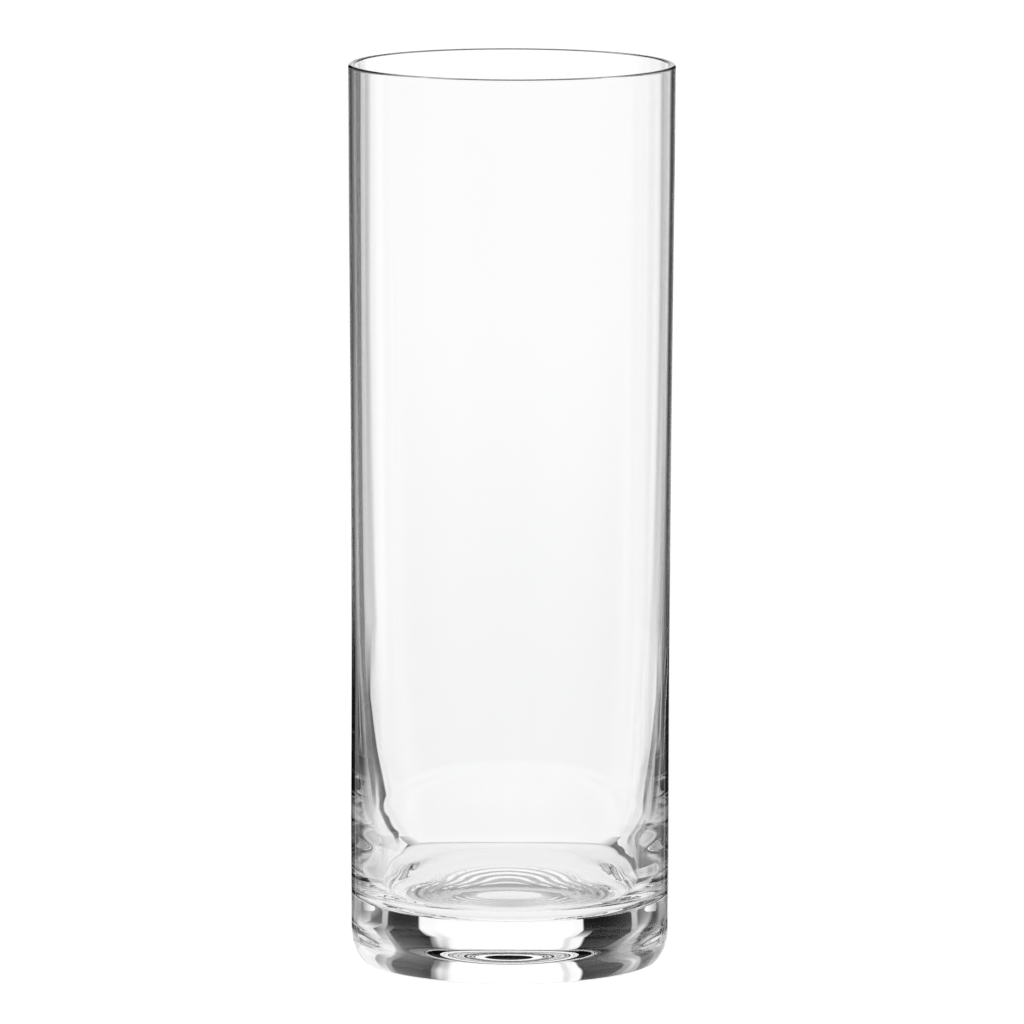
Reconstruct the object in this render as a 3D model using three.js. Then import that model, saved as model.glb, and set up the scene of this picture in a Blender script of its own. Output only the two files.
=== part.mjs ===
// Straight-sided long-drink tumbler, one piece of clear glass.
// Millimetres, +Z up. The origin is the centre of the footprint, on the plane the glass stands on.
import * as THREE from "three";

// ---- driving dimensions, mm -------------------------------------------------
const HEIGHT = 166.0; // foot to the crest of the lip
const SEGMENTS = 72; // facets round the axis, a multiple of 4

// Outer wall, [height, radius]. It opens slightly towards the lip, as a blown glass does to leave its mould.
const OUTER = [
  [7.8, 29.3],
  [27.0, 29.4],
  [55.0, 29.33],
  [83.0, 29.43],
  [111.0, 29.61],
  [138.0, 29.83],
  [165.5, 30.0],
];
// Heel: the rounded corner between the wall and the foot. From HEEL_HEIGHT down to 2 mm it is part of a superellipse
// quarter. Below that it runs in more steeply, to a tight corner, [inwards from the full radius, height].
const HEEL_WIDTH = 4.4;
const HEEL_HEIGHT = 8.0;
const HEEL_POWER = 2.9;
const HEEL_STEPS = 6;
const HEEL_CORNER = [
  [2.65, 0.0],
  [2.23, 0.05],
  [2.02, 0.15],
  [1.84, 0.3],
  [1.46, 0.8],
  [0.984, 1.6],
  [0.785, 2.0],
];
// Foot: a flat ring the glass stands on, with a shallow hollow inside it.
const FOOT_INNER_RADIUS = 12.4;
const HOLLOW_DEPTH = 0.4;
const HOLLOW_STEPS = 6;
// Lip: fire-polished and rounded.
const LIP_THICKNESS = 1.1;
const LIP_STEPS = 6;
// Inner wall, [height, radius], from just under the lip to the floor of the bore.
const INNER = [
  [165.5, 28.9],
  [140.0, 28.78],
  [105.0, 28.52],
  [85.0, 28.36],
  [70.0, 28.22],
  [60.0, 28.07],
  [52.0, 27.87],
  [45.0, 27.57],
  [38.0, 27.17],
  [32.0, 26.7],
  [27.0, 26.15],
  [22.7, 25.4],
  [19.5, 24.9],
  [16.6, 24.55],
  [14.5, 24.15],
  [13.0, 23.4],
  [12.0, 22.4],
  [11.2, 20.9],
  [10.8, 19.6],
];
const FLOOR_HEIGHT = 10.6; // thickness of the glass under the bore
const FLOOR_FLAT_RADIUS = 17.5; // flat middle of the floor of the bore

// ---- profile helpers --------------------------------------------------------

// Shape-preserving cubic through [x, y] knots with rising x, evaluated at x.
function pchip(knots) {
  const n = knots.length;
  const h = [],
    d = [];
  for (let i = 0; i < n - 1; i++) {
    h.push(knots[i + 1][0] - knots[i][0]);
    d.push((knots[i + 1][1] - knots[i][1]) / h[i]);
  }
  const m = new Array(n).fill(0);
  for (let i = 1; i < n - 1; i++) {
    if (d[i - 1] * d[i] > 0) {
      const a = 2 * h[i] + h[i - 1];
      const b = h[i] + 2 * h[i - 1];
      m[i] = (a + b) / (a / d[i - 1] + b / d[i]);
    }
  }
  m[0] = d[0];
  m[n - 1] = d[n - 2];
  return (x) => {
    let i = 0;
    while (i < n - 2 && x > knots[i + 1][0]) i++;
    const t = (x - knots[i][0]) / h[i];
    const t2 = t * t,
      t3 = t2 * t;
    return (
      knots[i][1] * (2 * t3 - 3 * t2 + 1) +
      m[i] * h[i] * (t3 - 2 * t2 + t) +
      knots[i + 1][1] * (3 * t2 - 2 * t3) +
      m[i + 1] * h[i] * (t3 - t2)
    );
  };
}

const outerRadius = pchip(OUTER);
const innerRadius = pchip([...INNER].reverse());

// ---- the profile, from the centre of the foot round to the centre of the bore ----
const profile = [];
const add = (r, z) => profile.push(new THREE.Vector2(r, z));

// hollow under the foot
for (let i = 0; i < HOLLOW_STEPS; i++) {
  const t = i / HOLLOW_STEPS;
  const s = Math.cos((t * Math.PI) / 2);
  add(t * FOOT_INNER_RADIUS, HOLLOW_DEPTH * s * s);
}
add(FOOT_INNER_RADIUS, 0);
// heel
const heelTop = outerRadius(HEEL_HEIGHT);
for (const [inset, z] of HEEL_CORNER) add(heelTop - inset, z);
const cornerTop = HEEL_CORNER[HEEL_CORNER.length - 1][1];
for (let i = 1; i <= HEEL_STEPS; i++) {
  const z = cornerTop + ((HEEL_HEIGHT - cornerTop) * i) / HEEL_STEPS;
  const drop = (HEEL_HEIGHT - z) / HEEL_HEIGHT;
  const inset = HEEL_WIDTH * (1 - Math.pow(1 - Math.pow(drop, HEEL_POWER), 1 / HEEL_POWER));
  add(heelTop - inset, z);
}
// outer wall
const top = OUTER[OUTER.length - 1][0];
for (const z of [18, 36, 55, 69, 83, 97, 111, 125, 138, 152, top])
  add(outerRadius(z), z);
// lip
const lipCentre = outerRadius(top) - LIP_THICKNESS / 2;
for (let i = 1; i < LIP_STEPS; i++) {
  const a = (i / LIP_STEPS) * Math.PI;
  add(
    lipCentre + (LIP_THICKNESS / 2) * Math.cos(a),
    top + (HEIGHT - top) * Math.sin(a),
  );
}
// inner wall
for (const z of [
  top, 152, 140, 125, 111, 98, 85, 77, 70, 64, 58, 52, 45, 38, 32, 27, 22.7,
  19.5, 16.6, 14.5, 13.0, 12.0, 11.2, 10.8,
])
  add(innerRadius(z), z);
add(FLOOR_FLAT_RADIUS, FLOOR_HEIGHT);
add(0, FLOOR_HEIGHT);

// ---- the glass --------------------------------------------------------------
const glass = new THREE.MeshStandardMaterial({
  name: "clear_glass",
  color: new THREE.Color(0.96, 0.97, 0.97),
  roughness: 0.03,
  metalness: 0.0,
  transparent: true,
  opacity: 0.35,
});

const geometry = new THREE.LatheGeometry(profile, SEGMENTS);
const body = new THREE.Mesh(geometry, glass);
body.name = "glass_body";
body.rotation.x = Math.PI / 2; // the lathe turns about its own Y, which becomes +Z here

const tumbler = new THREE.Group();
tumbler.name = "tumbler";
tumbler.add(body);

export default tumbler;
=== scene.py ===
from math import atan2, cos, degrees, hypot, pi, radians, sin

import bmesh
import bpy
import numpy as np
from mathutils import Euler, Matrix, Vector, noise


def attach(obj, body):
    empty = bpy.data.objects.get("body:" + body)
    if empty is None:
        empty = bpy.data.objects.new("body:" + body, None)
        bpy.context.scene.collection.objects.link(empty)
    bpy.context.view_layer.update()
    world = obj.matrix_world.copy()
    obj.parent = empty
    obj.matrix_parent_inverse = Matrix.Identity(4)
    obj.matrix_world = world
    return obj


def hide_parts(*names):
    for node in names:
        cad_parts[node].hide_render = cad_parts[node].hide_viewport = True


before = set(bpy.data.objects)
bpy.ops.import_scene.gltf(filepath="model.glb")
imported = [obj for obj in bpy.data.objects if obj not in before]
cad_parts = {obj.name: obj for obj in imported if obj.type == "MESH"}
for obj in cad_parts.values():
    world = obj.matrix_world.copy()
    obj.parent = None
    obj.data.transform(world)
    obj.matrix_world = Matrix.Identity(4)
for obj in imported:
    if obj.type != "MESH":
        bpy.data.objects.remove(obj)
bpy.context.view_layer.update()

MM = 0.001

# ---- dimensions of the glass, mm, as in the CAD model ---------------------------
HEIGHT = 166.0
OUTER = [
    (7.8, 29.3), (27.0, 29.4), (55.0, 29.33), (83.0, 29.43),
    (111.0, 29.61), (138.0, 29.83), (165.5, 30.0),
]
HEEL_WIDTH, HEEL_HEIGHT, HEEL_POWER = 4.4, 8.0, 2.9
# Below 2 mm the heel runs in more steeply, to a tight corner: (inwards from the full radius, height).
HEEL_CORNER = [(0.785, 2.0), (0.984, 1.6), (1.21, 1.2), (1.46, 0.8), (1.67, 0.5), (1.84, 0.3), (2.02, 0.15), (2.23, 0.05), (2.65, 0.0)]
FOOT_INNER_RADIUS, HOLLOW_DEPTH = 12.4, 0.4
LIP_THICKNESS, LIP_HEIGHT = 1.1, 0.5
# Inner surface, (radius, height), from the centre of the floor up to the lip.
INNER = [
    (0.0, 10.6), (8.0, 10.6), (15.0, 10.6), (17.5, 10.6), (19.6, 10.8), (20.9, 11.2), (22.4, 12.0), (23.4, 13.0),
    (24.15, 14.5), (24.55, 16.6), (24.9, 19.5), (25.4, 22.7), (26.15, 27.0), (26.7, 32.0), (27.17, 38.0), (27.57, 45.0),
    (27.87, 52.0), (28.07, 60.0), (28.22, 70.0), (28.36, 85.0), (28.52, 105.0), (28.78, 140.0), (28.9, 165.5),
]
SIDES = 288
WAVE = 0.02  # height of the faint waves in the surface
RIPPLE, RIPPLE_LENGTH = 0.035, 1.8  # height and spacing of the faint rings in the floor


# ---- the profile of the glass ----------------------------------------------------
def pchip(knots):
    """Shape-preserving cubic through (x, y) knots with rising x."""
    n = len(knots)
    h = [knots[i + 1][0] - knots[i][0] for i in range(n - 1)]
    d = [(knots[i + 1][1] - knots[i][1]) / h[i] for i in range(n - 1)]
    m = [0.0] * n
    for i in range(1, n - 1):
        if d[i - 1] * d[i] > 0:
            a, b = 2 * h[i] + h[i - 1], h[i] + 2 * h[i - 1]
            m[i] = (a + b) / (a / d[i - 1] + b / d[i])
    m[0], m[-1] = d[0], d[-1]

    def at(x):
        i = 0
        while i < n - 2 and x > knots[i + 1][0]:
            i += 1
        t = (x - knots[i][0]) / h[i]
        return (
            knots[i][1] * (2 * t**3 - 3 * t**2 + 1)
            + m[i] * h[i] * (t**3 - 2 * t**2 + t)
            + knots[i + 1][1] * (3 * t**2 - 2 * t**3)
            + m[i + 1] * h[i] * (t**3 - t**2)
        )

    return at


def curve(points):
    """A smooth curve through (r, z) points, by length. Returns the curve, the length at each point and the whole length."""
    s = [0.0]
    for p, q in zip(points, points[1:]):
        s.append(s[-1] + hypot(q[0] - p[0], q[1] - p[1]))
    r, z = pchip([(a, p[0]) for a, p in zip(s, points)]), pchip([(a, p[1]) for a, p in zip(s, points)])
    return (lambda t: (r(t), z(t))), s, s[-1]


outer_radius = pchip(OUTER)
inner_curve, inner_marks, inner_length = curve(INNER)


def steps(a, b, n):
    """n equal steps from a to b, without a."""
    return [a + (b - a) * i / n for i in range(1, n + 1)]


def profile():
    """(radius, height, part) from the centre of the foot, round the outside, to the centre of the bore."""
    out = []
    # hollow under the foot
    for i in range(40):
        t = i / 40
        out.append((t * FOOT_INNER_RADIUS, HOLLOW_DEPTH * cos(t * pi / 2) ** 2, "foot"))
    out.append((FOOT_INNER_RADIUS, 0.0, "foot"))
    # flat ring and heel
    heel_top = outer_radius(HEEL_HEIGHT)
    ring = heel_top - HEEL_CORNER[-1][0]
    if ring - FOOT_INNER_RADIUS > 0.2:
        out += [(r, 0.0, "foot") for r in steps(FOOT_INNER_RADIUS, ring, 8)]
    corner, _, length = curve([(heel_top - x, z) for x, z in HEEL_CORNER])
    out += [(*corner(t), "heel") for t in steps(length, 0.0, 40)]
    for i in range(1, 41):
        drop = (HEEL_HEIGHT - HEEL_CORNER[0][1]) * (1 - i / 40) / HEEL_HEIGHT
        out.append((heel_top - HEEL_WIDTH * (1 - (1 - drop**HEEL_POWER) ** (1 / HEEL_POWER)), HEEL_HEIGHT * (1 - drop), "heel"))
    # outer wall, with closer rings where it meets the lip
    top = OUTER[-1][0]
    out += [(outer_radius(z), z, "outer") for z in steps(HEEL_HEIGHT, top - 2.4, 70)]
    out += [(outer_radius(z), z, "outer") for z in (top - 1.5, top - 0.9, top - 0.5, top - 0.25, top - 0.1, top)]
    # lip
    centre = outer_radius(top) - LIP_THICKNESS / 2
    for i in range(1, 20):
        a = i / 20 * pi
        out.append((centre + LIP_THICKNESS / 2 * cos(a), top + LIP_HEIGHT * sin(a), "lip"))
    # inner surface
    for t in [inner_length - d for d in (0.0, 0.1, 0.25, 0.5, 0.9, 1.5, 2.4)]:
        out.append((*inner_curve(t), "inner"))
    mark = inner_marks[[z for _, z in INNER].index(45.0)]
    out += [(*inner_curve(t), "inner") for t in steps(inner_length - 2.4, mark, 40)]
    out += [(*inner_curve(t), "inner") for t in steps(mark, 0.0, 260)]
    out[-1] = (0.0, INNER[0][1], "inner")
    return out


# ---- mesh helpers -----------------------------------------------------------------
def lathe(name, points, sides, move=None):
    """A closed body turned about Z from points that start and end on the axis. move shifts a vertex.
    Normals come from the true slope of the surface, so that it refracts as one smooth surface."""
    r = np.array([p[0] for p in points])
    z = np.array([p[1] for p in points])
    a = np.arange(sides) * 2 * pi / sides
    rr, zz = np.repeat(r[:, None], sides, 1), np.repeat(z[:, None], sides, 1)
    if move is not None:
        rr, zz = move(rr, zz, np.repeat(a[None], len(points), 0), [p[2] for p in points])
    pos = np.stack([rr * np.cos(a), rr * np.sin(a), zz], -1)
    # slope along the profile: the parabola through three neighbours, by length
    seg = np.hypot(np.diff(r), np.diff(z))
    flow = np.zeros_like(pos)
    d = np.diff(pos, axis=0) / seg[:, None, None]
    w0, w1 = seg[1:] / (seg[1:] + seg[:-1]), seg[:-1] / (seg[1:] + seg[:-1])
    flow[1:-1] = d[:-1] * w0[:, None, None] + d[1:] * w1[:, None, None]
    flow[0], flow[-1] = d[0], d[-1]
    turn = np.roll(pos, -1, 1) - np.roll(pos, 1, 1)
    normal = np.cross(turn, flow)
    normal[0], normal[-1] = (0, 0, -1), (0, 0, 1)
    normal /= np.linalg.norm(normal, axis=-1, keepdims=True)

    bm = bmesh.new()
    rings, normals = [], []
    for k in range(len(points)):
        if r[k] < 1e-9:
            rings.append([bm.verts.new((0, 0, float(zz[k].mean()) * MM))])
            normals.append(normal[k].mean(0))
        else:
            rings.append([bm.verts.new(pos[k, j] * MM) for j in range(sides)])
            normals += list(normal[k])
    for p, q in zip(rings, rings[1:]):
        for j in range(sides):
            i = (j + 1) % sides
            if len(p) == 1:
                bm.faces.new((p[0], q[i], q[j]))
            elif len(q) == 1:
                bm.faces.new((p[j], p[i], q[0]))
            else:
                bm.faces.new((p[j], p[i], q[i], q[j]))
    mesh = bpy.data.meshes.new(name)
    bm.to_mesh(mesh)
    bm.free()
    mesh.shade_smooth()
    normals = np.array(normals)
    normals /= np.linalg.norm(normals, axis=1, keepdims=True)
    mesh.normals_split_custom_set_from_vertices([tuple(n) for n in normals])
    obj = bpy.data.objects.new(name, mesh)
    bpy.context.scene.collection.objects.link(obj)
    return obj


# ---- the glass ---------------------------------------------------------------------
def ripple(rr, zz, angles, parts):
    """Faint rings in the floor of the bore, a little off centre, as the tool that pressed it leaves them."""
    inside = np.repeat(np.array([p == "inner" for p in parts])[:, None], rr.shape[1], 1)
    x = np.clip((rr - 7.5) / 4, 0, 1) * np.clip((21.5 - rr) / 3, 0, 1)
    wave = np.sin(2 * pi * (rr + 0.7 * np.cos(angles - 0.6) + 0.25 * np.sin(3 * angles)) / RIPPLE_LENGTH)
    return rr, np.where(inside & (zz < 12), zz + RIPPLE * x * wave, zz)


body = lathe("tumbler_glass", profile(), SIDES, ripple)


def glass_material():
    """Clear glass with a trace of uneven tint, and the faint waves and cords that a moulded glass keeps."""
    mat = bpy.data.materials.new("clear_glass")
    mat.use_nodes = True
    nt = mat.node_tree
    bsdf = nt.nodes["Principled BSDF"]
    bsdf.inputs["Transmission Weight"].default_value = 1.0
    bsdf.inputs["IOR"].default_value = 1.52
    coord = nt.nodes.new("ShaderNodeTexCoord")

    # tint: two close greys, in clouds a few centimetres wide
    clouds = nt.nodes.new("ShaderNodeTexNoise")
    clouds.inputs["Scale"].default_value = 35.0
    clouds.inputs["Detail"].default_value = 2.0
    tint = nt.nodes.new("ShaderNodeValToRGB")
    tint.color_ramp.elements[0].position, tint.color_ramp.elements[1].position = 0.3, 0.7
    tint.color_ramp.elements[0].color = (0.981, 0.984, 0.983, 1)
    tint.color_ramp.elements[1].color = (0.987, 0.987, 0.987, 1)
    nt.links.new(coord.outputs["Object"], clouds.inputs["Vector"])
    nt.links.new(clouds.outputs["Fac"], tint.inputs["Fac"])
    nt.links.new(tint.outputs["Color"], bsdf.inputs["Base Color"])

    # polish: almost perfect, a little duller in spots
    spots = nt.nodes.new("ShaderNodeTexNoise")
    spots.inputs["Scale"].default_value = 220.0
    spots.inputs["Detail"].default_value = 3.0
    polish = nt.nodes.new("ShaderNodeMapRange")
    polish.inputs["From Min"].default_value, polish.inputs["From Max"].default_value = 0.4, 0.8
    polish.inputs["To Min"].default_value, polish.inputs["To Max"].default_value = 0.0, 0.03
    nt.links.new(coord.outputs["Object"], spots.inputs["Vector"])
    nt.links.new(spots.outputs["Fac"], polish.inputs["Value"])
    nt.links.new(polish.outputs["Result"], bsdf.inputs["Roughness"])

    # waves: a few micrometres high, longer up the wall than round it
    stretch = nt.nodes.new("ShaderNodeMapping")
    stretch.inputs["Scale"].default_value = (1.0, 1.0, 0.45)
    waves = nt.nodes.new("ShaderNodeTexNoise")
    waves.inputs["Scale"].default_value = 55.0
    waves.inputs["Detail"].default_value = 1.0
    bump = nt.nodes.new("ShaderNodeBump")
    bump.inputs["Strength"].default_value = 1.0
    bump.inputs["Distance"].default_value = WAVE * MM
    nt.links.new(coord.outputs["Object"], stretch.inputs["Vector"])
    nt.links.new(stretch.outputs["Vector"], waves.inputs["Vector"])
    nt.links.new(waves.outputs["Fac"], bump.inputs["Height"])
    nt.links.new(bump.outputs["Normal"], bsdf.inputs["Normal"])
    return mat


body.data.materials.append(glass_material())
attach(body, "root")
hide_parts("glass_body")


# ---- studio: white ground, white window behind the glass, dark and grey cards -------
def glow_material(name):
    mat = bpy.data.materials.new(name)
    mat.use_nodes = True
    nt = mat.node_tree
    nt.nodes.clear()
    out = nt.nodes.new("ShaderNodeOutputMaterial")
    glow = nt.nodes.new("ShaderNodeEmission")
    level = nt.nodes.new("ShaderNodeAttribute")
    level.attribute_name = "level"
    nt.links.new(level.outputs["Fac"], glow.inputs["Strength"])
    nt.links.new(glow.outputs["Emission"], out.inputs["Surface"])
    mat.cycles.emission_sampling = "NONE"
    return mat


card = glow_material("studio_card")


def put(name, verts, faces, levels, see=True, glossy=True):
    """A studio card with its own brightness at each corner. The camera doesn't see it, only the glass does."""
    mesh = bpy.data.meshes.new(name)
    mesh.from_pydata(verts, [], faces)
    mesh.attributes.new("level", "FLOAT", "POINT").data.foreach_set("value", levels)
    mesh.materials.append(card)
    obj = bpy.data.objects.new(name, mesh)
    bpy.context.scene.collection.objects.link(obj)
    obj.visible_camera = obj.visible_diffuse = obj.visible_shadow = False
    obj.visible_transmission, obj.visible_glossy = see, glossy
    return obj


def screen(name, radius, rows, see=True, glossy=True):
    """A curved card round the axis. rows are (height in mm, [(bearing in degrees, brightness), ...]), with
    bearing 0 behind the glass and + to the right. Every row has the same number of stops."""
    verts, faces, levels = [], [], []
    n = len(rows[0][1])
    for z, stops in rows:
        for bearing, v in stops:
            verts.append((radius * MM * sin(radians(bearing)), radius * MM * cos(radians(bearing)), z * MM))
            levels.append(v)
    for k in range(len(rows) - 1):
        for j in range(n - 1):
            faces.append((k * n + j, k * n + j + 1, (k + 1) * n + j + 1, (k + 1) * n + j))
    return put(name, verts, faces, levels, see, glossy)


def disc(name, z, rings, see=True, glossy=True):
    """A round card. rings are (radius in mm, brightness), from the centre out."""
    verts, faces, levels, n = [], [], [], 96
    for r, v in rings:
        for j in range(n):
            a = 2 * pi * j / n
            verts.append((r * MM * cos(a), r * MM * sin(a), z * MM))
            levels.append(v)
    for k in range(len(rings) - 1):
        for j in range(n):
            i = (j + 1) % n
            faces.append((k * n + j, k * n + i, (k + 1) * n + i, (k + 1) * n + j))
    return put(name, verts, faces, levels, see, glossy)


def sweep(name, z, rows):
    """A flat card round the axis. rows are (radius in mm, [(bearing, brightness), ...]), as on a screen."""
    verts, faces, levels, n = [], [], [], len(rows[0][1])
    for r, stops in rows:
        for bearing, v in stops:
            verts.append((r * MM * sin(radians(bearing)), r * MM * cos(radians(bearing)), z * MM))
            levels.append(v)
    for k in range(len(rows) - 1):
        for j in range(n - 1):
            faces.append((k * n + j, k * n + j + 1, (k + 1) * n + j + 1, (k + 1) * n + j))
    return put(name, verts, faces, levels)


# Cards stand 240 mm from the axis on both sides of a gap, and through the gap the white backdrop shows.
# Each card is dark, with a soft light edge and a few lighter strips, and it is lighter below the table line.
LEFT_OUT = [(-180, 0.08), (-95, 0.1), (-84, 0.35)]
RIGHT_OUT = [(84, 0.6), (90, 0.4), (97, 0.2), (105, 0.1), (180, 0.1)]
# Higher up, the front of the studio is light where it is seen through the glass, and dark where the glass reflects it.
LEFT_HIGH = [(-180, 0.7), (-95, 0.7), (-84, 0.7)]
RIGHT_HIGH = [(84, 0.7), (90, 0.7), (97, 0.7), (105, 0.7), (180, 0.7)]
LEFT_LOW = [(-180, 0.14), (-95, 0.15), (-84, 0.4)]
RIGHT_LOW = [(84, 0.6), (90, 0.4), (97, 0.2), (105, 0.15), (180, 0.14)]
left_top = LEFT_HIGH + [
    (-76, 0.75), (-69, 0.3), (-61, 0.1), (-57, 0.1), (-54, 0.4), (-51, 0), (-48, 0), (-42, 0), (-40, 0.3), (-34, 0.25),
    (-29, 0.1), (-26, 0.02), (-22, 0), (-18, 0), (-16.5, 0), (-15.9, 1), (-14, 1), (-13.1, 0.72), (-12.4, 0.76), (-11.7, 1.09)]
left_rows = [
    (-140, LEFT_OUT + [
        (-76, 0.8), (-69, 0.8), (-61, 0.9), (-58, 0.9), (-55.5, 0.9), (-52.5, 0.9), (-50, 0.9), (-46, 0.9), (-41.5, 0.9), (-36, 0.9),
        (-31, 0.9), (-29, 0.9), (-26, 1), (-22, 1), (-18.6, 1), (-16.4, 1), (-15.2, 1), (-14.4, 1.09), (-14, 1.09), (-13, 1.09)]),
    (-92, LEFT_OUT + [
        (-76, 0.8), (-69, 0.8), (-61, 0.8), (-58, 0.8), (-55.5, 0.7), (-52.5, 0.7), (-50, 0.65), (-46, 0.6), (-41.5, 0.7), (-36, 0.7),
        (-31, 0.9), (-29, 0.9), (-26, 1), (-22, 1), (-19.6, 1), (-19, 1), (-17.4, 1), (-16.8, 1.05), (-14, 1.09), (-13, 1.09)]),
    (-75, LEFT_OUT + [
        (-76, 0.7), (-69, 0.6), (-61, 0.7), (-58, 0.6), (-55.5, 0.5), (-52.5, 0.5), (-50, 0.6), (-46, 0.6), (-41.5, 0.5), (-36, 0.45),
        (-31, 0.6), (-29, 0.7), (-26, 0.8), (-23.8, 0.9), (-21.2, 1), (-19.8, 0.05), (-17.9, 0), (-17.2, 1.05), (-15, 1), (-13, 1.09)]),
    (-54, LEFT_OUT + [
        (-76, 0.6), (-69, 0.5), (-61, 0.6), (-58, 0.4), (-55.5, 0.05), (-52.5, 0.05), (-50, 0.5), (-46, 0.6), (-41.5, 0.33), (-36, 0.25),
        (-31, 0.3), (-29, 0.6), (-26, 0), (-22.6, 0), (-21, 0.95), (-18.5, 0.04), (-15.8, 0), (-15.2, 1.09), (-14, 0.95), (-13, 1.09)]),
    (-38, LEFT_OUT + [
        (-76, 0.6), (-69, 0.4), (-61, 0.5), (-57, 0.3), (-54, 0.1), (-51, 0.02), (-49, 0.1), (-47, 0.35), (-43, 0.25), (-40, 0.12),
        (-34, 0.1), (-28, 0.1), (-25, 0), (-21, 0), (-19, 0.2), (-17.2, 0), (-16, 0), (-15.4, 1.09), (-14, 0.95), (-13, 1.09)]),
    (-27, LEFT_OUT + [
        (-76, 0.6), (-69, 0.4), (-61, 0.5), (-57, 0.3), (-54, 0.1), (-51, 0.02), (-49, 0.1), (-47, 0.35), (-41, 0.2), (-37.4, 0.12),
        (-36.4, 0.6), (-34.2, 0.6), (-33.5, 0.03), (-22, 0), (-19, 0), (-17.2, 0), (-16.4, 0), (-15.9, 1.09), (-15, 1.05), (-13, 1.09)]),
    (-8, LEFT_OUT + [
        (-76, 0.6), (-69, 0.3), (-61, 0.4), (-57, 0.3), (-54, 0.1), (-51, 0.02), (-47.5, 0), (-45, 0.3), (-43, 0.5), (-37.4, 0.2),
        (-36.4, 0.5), (-34.2, 0.5), (-33.5, 0.03), (-22, 0), (-19, 0), (-17.2, 0), (-16.4, 0), (-15.9, 1.05), (-15, 1), (-12.4, 1.09)]),
    (21, LEFT_LOW + [
        (-76, 0.75), (-69, 0.3), (-61, 0.1), (-57, 0.1), (-54, 0.2), (-51, 0.05), (-48, 0), (-42, 0.05), (-40, 0.6), (-38.2, 0.9),
        (-36.5, 0.5), (-34, 0.4), (-33.2, 0.03), (-18, 0), (-16.9, 0), (-16.1, 1.05), (-13.6, 1), (-12.8, 0.82), (-11.9, 0.84), (-11.2, 1.09)]),
    (90, left_top),
    (320, left_top),
]
screen("card_left", 240, left_rows, glossy=False)
screen("card_left_reflected", 240, [(z, LEFT_OUT + stops[len(LEFT_OUT):]) for z, stops in left_rows], see=False)
right_top = [
    (13, 1.09), (14.2, 1), (15.2, 0.5), (16, 0.3), (17.5, 0.1), (19.4, 0.02), (22, 0.03), (25.4, 0.05), (29, 0.05), (32, 0.1), (35, 0.25),
    (37, 0.9), (42, 0.9), (49, 0.9), (55, 0.95), (62, 1), (65, 0.5), (68, 0.9), (71, 0.5), (73, 1.2), (77, 0.5), (79, 1.05)] + RIGHT_HIGH
right_rows = [
    (-95, [
        (16, 1.09), (17.5, 1), (19, 1), (21, 1), (21.7, 1), (22.5, 0.95), (24.2, 0.9), (26, 0.9), (29.6, 0.8), (33, 0.8), (36.5, 0.7),
        (40.5, 0.7), (43, 0.7), (47, 0.8), (53, 0.8), (57, 0.8), (60, 0.8), (66, 0.8), (71, 0.7), (73, 0.8), (77, 0.7), (79, 0.8)] + RIGHT_OUT),
    (-80, [
        (16, 1.09), (17.5, 1), (19, 1), (21, 1.05), (22, 0.7), (22.8, 0.2), (24.2, 0.3), (26, 0.5), (29.6, 0.6), (33, 0.4), (36.5, 0.3),
        (40.5, 0.3), (43, 0.5), (47, 0.7), (53, 0.5), (57, 0.4), (60, 0.6), (66, 0.6), (71, 0.5), (73, 0.8), (77, 0.5), (79, 0.8)] + RIGHT_OUT),
    (-62, [
        (16, 1.09), (17.5, 0.9), (19, 1), (21, 1.09), (21.7, 0.5), (22.3, 0), (24.2, 0.05), (26, 0.3), (29.6, 0.5), (33, 0.25), (36.5, 0),
        (40.5, 0), (43, 0.3), (47, 0.7), (53, 0.5), (57, 0.1), (60, 0.6), (66, 0.6), (71, 0.5), (73, 0.8), (77, 0.5), (79, 0.8)] + RIGHT_OUT),
    (-36, [
        (15.5, 1.09), (16.8, 0.9), (18, 0.78), (20, 1), (20.8, 0.5), (21.6, 0.05), (24.6, 0.02), (27, 0.2), (29.8, 0.4), (32, 0.3), (35, 0.02),
        (43, 0), (45.5, 0.6), (49.6, 0.3), (53, 0.25), (60, 0.5), (65, 0.5), (68, 0.5), (71, 0.5), (73, 0.8), (77, 0.5), (79, 0.8)] + RIGHT_OUT),
    (-27, [
        (15.5, 1.09), (16.8, 1.05), (18, 1.05), (20.7, 1.05), (21.1, 0.9), (21.6, 0.03), (24.6, 0.02), (27, 0.02), (29.8, 0.02), (33.5, 0.03), (34.2, 0.6),
        (36.4, 0.6), (37.4, 0.1), (45.5, 0.5), (53, 0.25), (60, 0.5), (65, 0.5), (68, 0.5), (71, 0.5), (73, 0.8), (77, 0.5), (79, 0.8)] + RIGHT_OUT),
    (-8, [
        (15, 1.09), (16.3, 1.05), (17.5, 1.05), (20.3, 1.05), (20.9, 0.9), (21.4, 0.03), (24.6, 0.02), (27, 0.02), (29.8, 0.02), (33.5, 0.03), (34.2, 0.5),
        (36.4, 0.5), (37.4, 0.1), (44, 0.1), (46, 0.6), (60, 0.5), (65, 0.5), (68, 0.6), (71, 0.5), (73, 0.9), (77, 0.5), (79, 0.9)] + RIGHT_OUT),
    (21, [
        (12, 1.09), (13.3, 0.9), (14.2, 0.8), (15.8, 0.95), (17.4, 0.35), (18.4, 0), (22, 0.03), (27, 0.04), (33.2, 0.04), (34.2, 0.4), (36.5, 0.4),
        (43.3, 0.1), (44.6, 0.9), (50, 1), (55, 0.95), (62, 1), (65, 0.5), (68, 0.9), (71, 0.5), (73, 1.2), (77, 0.5), (79, 1.05)] + RIGHT_LOW),
    (90, right_top),
    (320, right_top),
]
screen("card_right", 240, right_rows, glossy=False)
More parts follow.
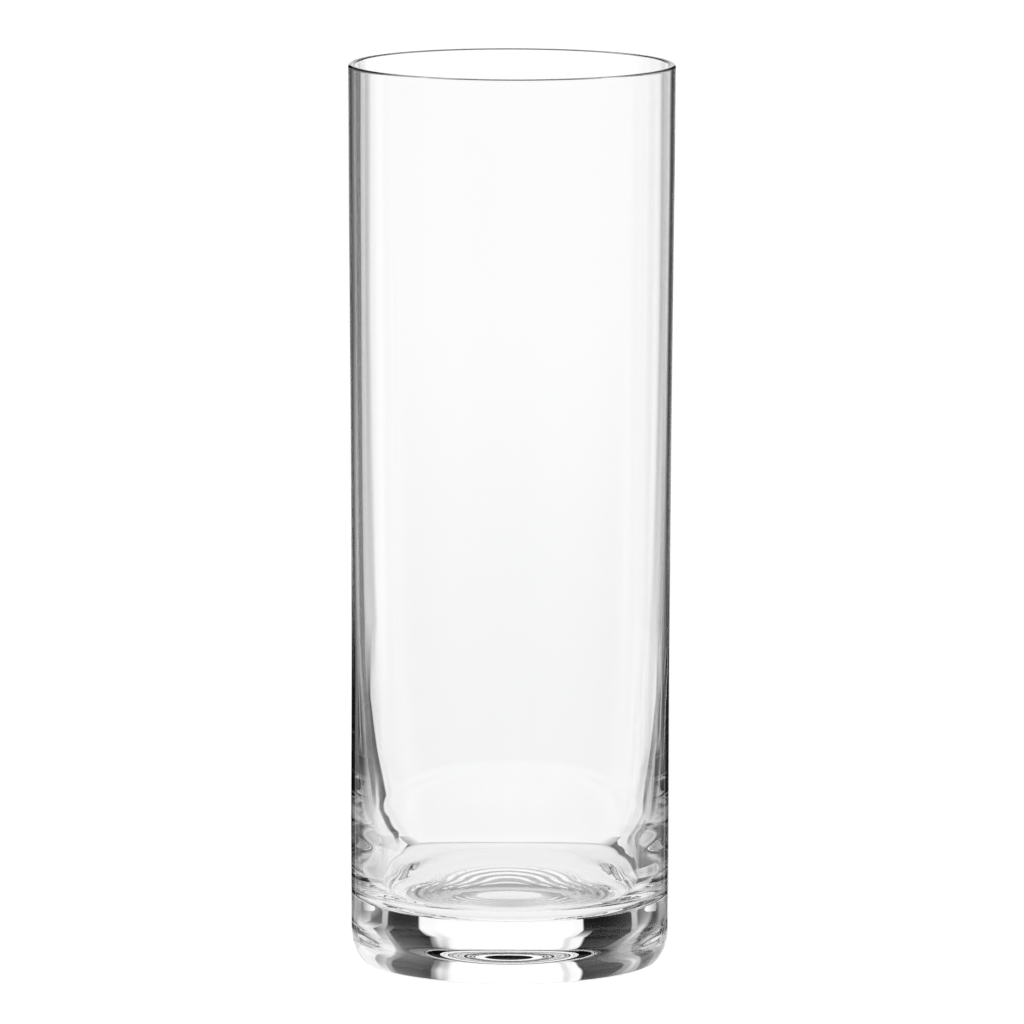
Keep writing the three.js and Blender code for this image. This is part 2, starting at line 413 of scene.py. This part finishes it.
screen("card_right_reflected", 240, [(z, stops[:-len(RIGHT_OUT)] + RIGHT_OUT) for z, stops in right_rows], see=False)
disc("card_above", 320, [(0.01, 1.09), (190, 1.09), (205, 0.1), (244, 0.1)])
window = [(-180, 0.12), (-120, 0.12), (-60, 0.12), (-39, 0.12), (-31, 1.09), (-20, 1.09), (-10, 1.09), (0, 1.09),
          (10, 1.09), (20, 1.09), (31, 1.09), (39, 0.12), (60, 0.12), (120, 0.12), (180, 0.12)]
shade = [(b, 0.12) for b, v in window]
screen("backdrop", 2000, [(-2000, shade), (-900, shade), (-860, window), (1500, window)])
disc("ground_far", -2000, [(0.01, 0.12), (2001, 0.12)])
back = [(-33, 0.4), (-26, 1.09), (-13, 1.09), (0, 1.09), (13, 1.09), (26, 1.09), (33, 0.4)]
sweep("stand_back", -0.05, [(46, back), (62, back)])


# Under the glass the stand lies in its shadow, darkest behind the rim of the hollow.
def round_stops(behind, beside, front):
    half = [(0, behind), (15, behind), (30, behind), (45, behind), (60, (behind + beside) / 2), (80, beside),
            (105, (beside + front) / 2), (130, front), (150, front), (165, front), (180, front)]
    return [(-b, v) for b, v in reversed(half[1:])] + half


sweep("stand", -0.05, [(r, round_stops(*levels)) for r, levels in [
    (0.01, (0.35, 0.35, 0.35)), (6, (0.35, 0.35, 0.5)), (9, (0.25, 0.3, 0.8)), (10, (0, 0.1, 0.9)), (12, (0, 0.05, 0.95)),
    (12.8, (0.6, 0.4, 0.9)), (15, (0.3, 0.4, 0.9)), (18, (0.15, 0.3, 0.9)), (22, (0.3, 0.5, 0.95)), (25, (0.95, 0.95, 1)), (42, (1, 1, 1)), (46, (0.6, 0.6, 0.6))]])

ground = bpy.data.meshes.new("studio_floor")
ground.from_pydata([(-8, -8, 0), (8, -8, 0), (8, 8, 0), (-8, 8, 0)], [], [(0, 1, 2, 3)])
ground.attributes.new("level", "FLOAT", "POINT").data.foreach_set("value", [1.05] * 4)
ground.materials.append(card)
floor = bpy.data.objects.new("studio_floor", ground)
bpy.context.scene.collection.objects.link(floor)
floor.location = (0, 0, -0.00002)
floor.visible_transmission = floor.visible_glossy = floor.visible_diffuse = floor.visible_shadow = False

world = bpy.data.worlds.new("studio_world")
world.use_nodes = True
world.node_tree.nodes["Background"].inputs["Color"].default_value = (1, 1, 1, 1)
world.node_tree.nodes["Background"].inputs["Strength"].default_value = 1.0
scene = bpy.context.scene
scene.world = world

# ---- camera --------------------------------------------------------------------------
# Taken 1.84 m from the axis, 0.34 m up, looking down 8.07 degrees, with a long lens.
cam_data = bpy.data.cameras.new("photo_camera")
cam_data.sensor_width = 36.0
cam_data.sensor_fit = "HORIZONTAL"
cam_data.lens = 10101.0 * 36.0 / 1024.0
cam_data.shift_x = 1.14 / 1024.0
cam_data.shift_y = (510.2 - 512.0) / 1024.0
cam_data.clip_start = 0.05
cam_data.clip_end = 50.0
camera = bpy.data.objects.new("photo_camera", cam_data)
scene.collection.objects.link(camera)
camera.location = (0.0, -1.839, 0.3443)
camera.rotation_euler = (Matrix.Rotation(pi / 2 - radians(8.07), 3, 'X') @ Matrix.Rotation(radians(0.15), 3, 'Z')).to_euler()
scene.camera = camera

scene.view_settings.view_transform = "Standard"
scene.view_settings.look = "None"
scene.cycles.max_bounces = 64
scene.cycles.transmission_bounces = 64
scene.cycles.glossy_bounces = 16
scene.cycles.use_denoising = True

bpy.context.view_layer.update()
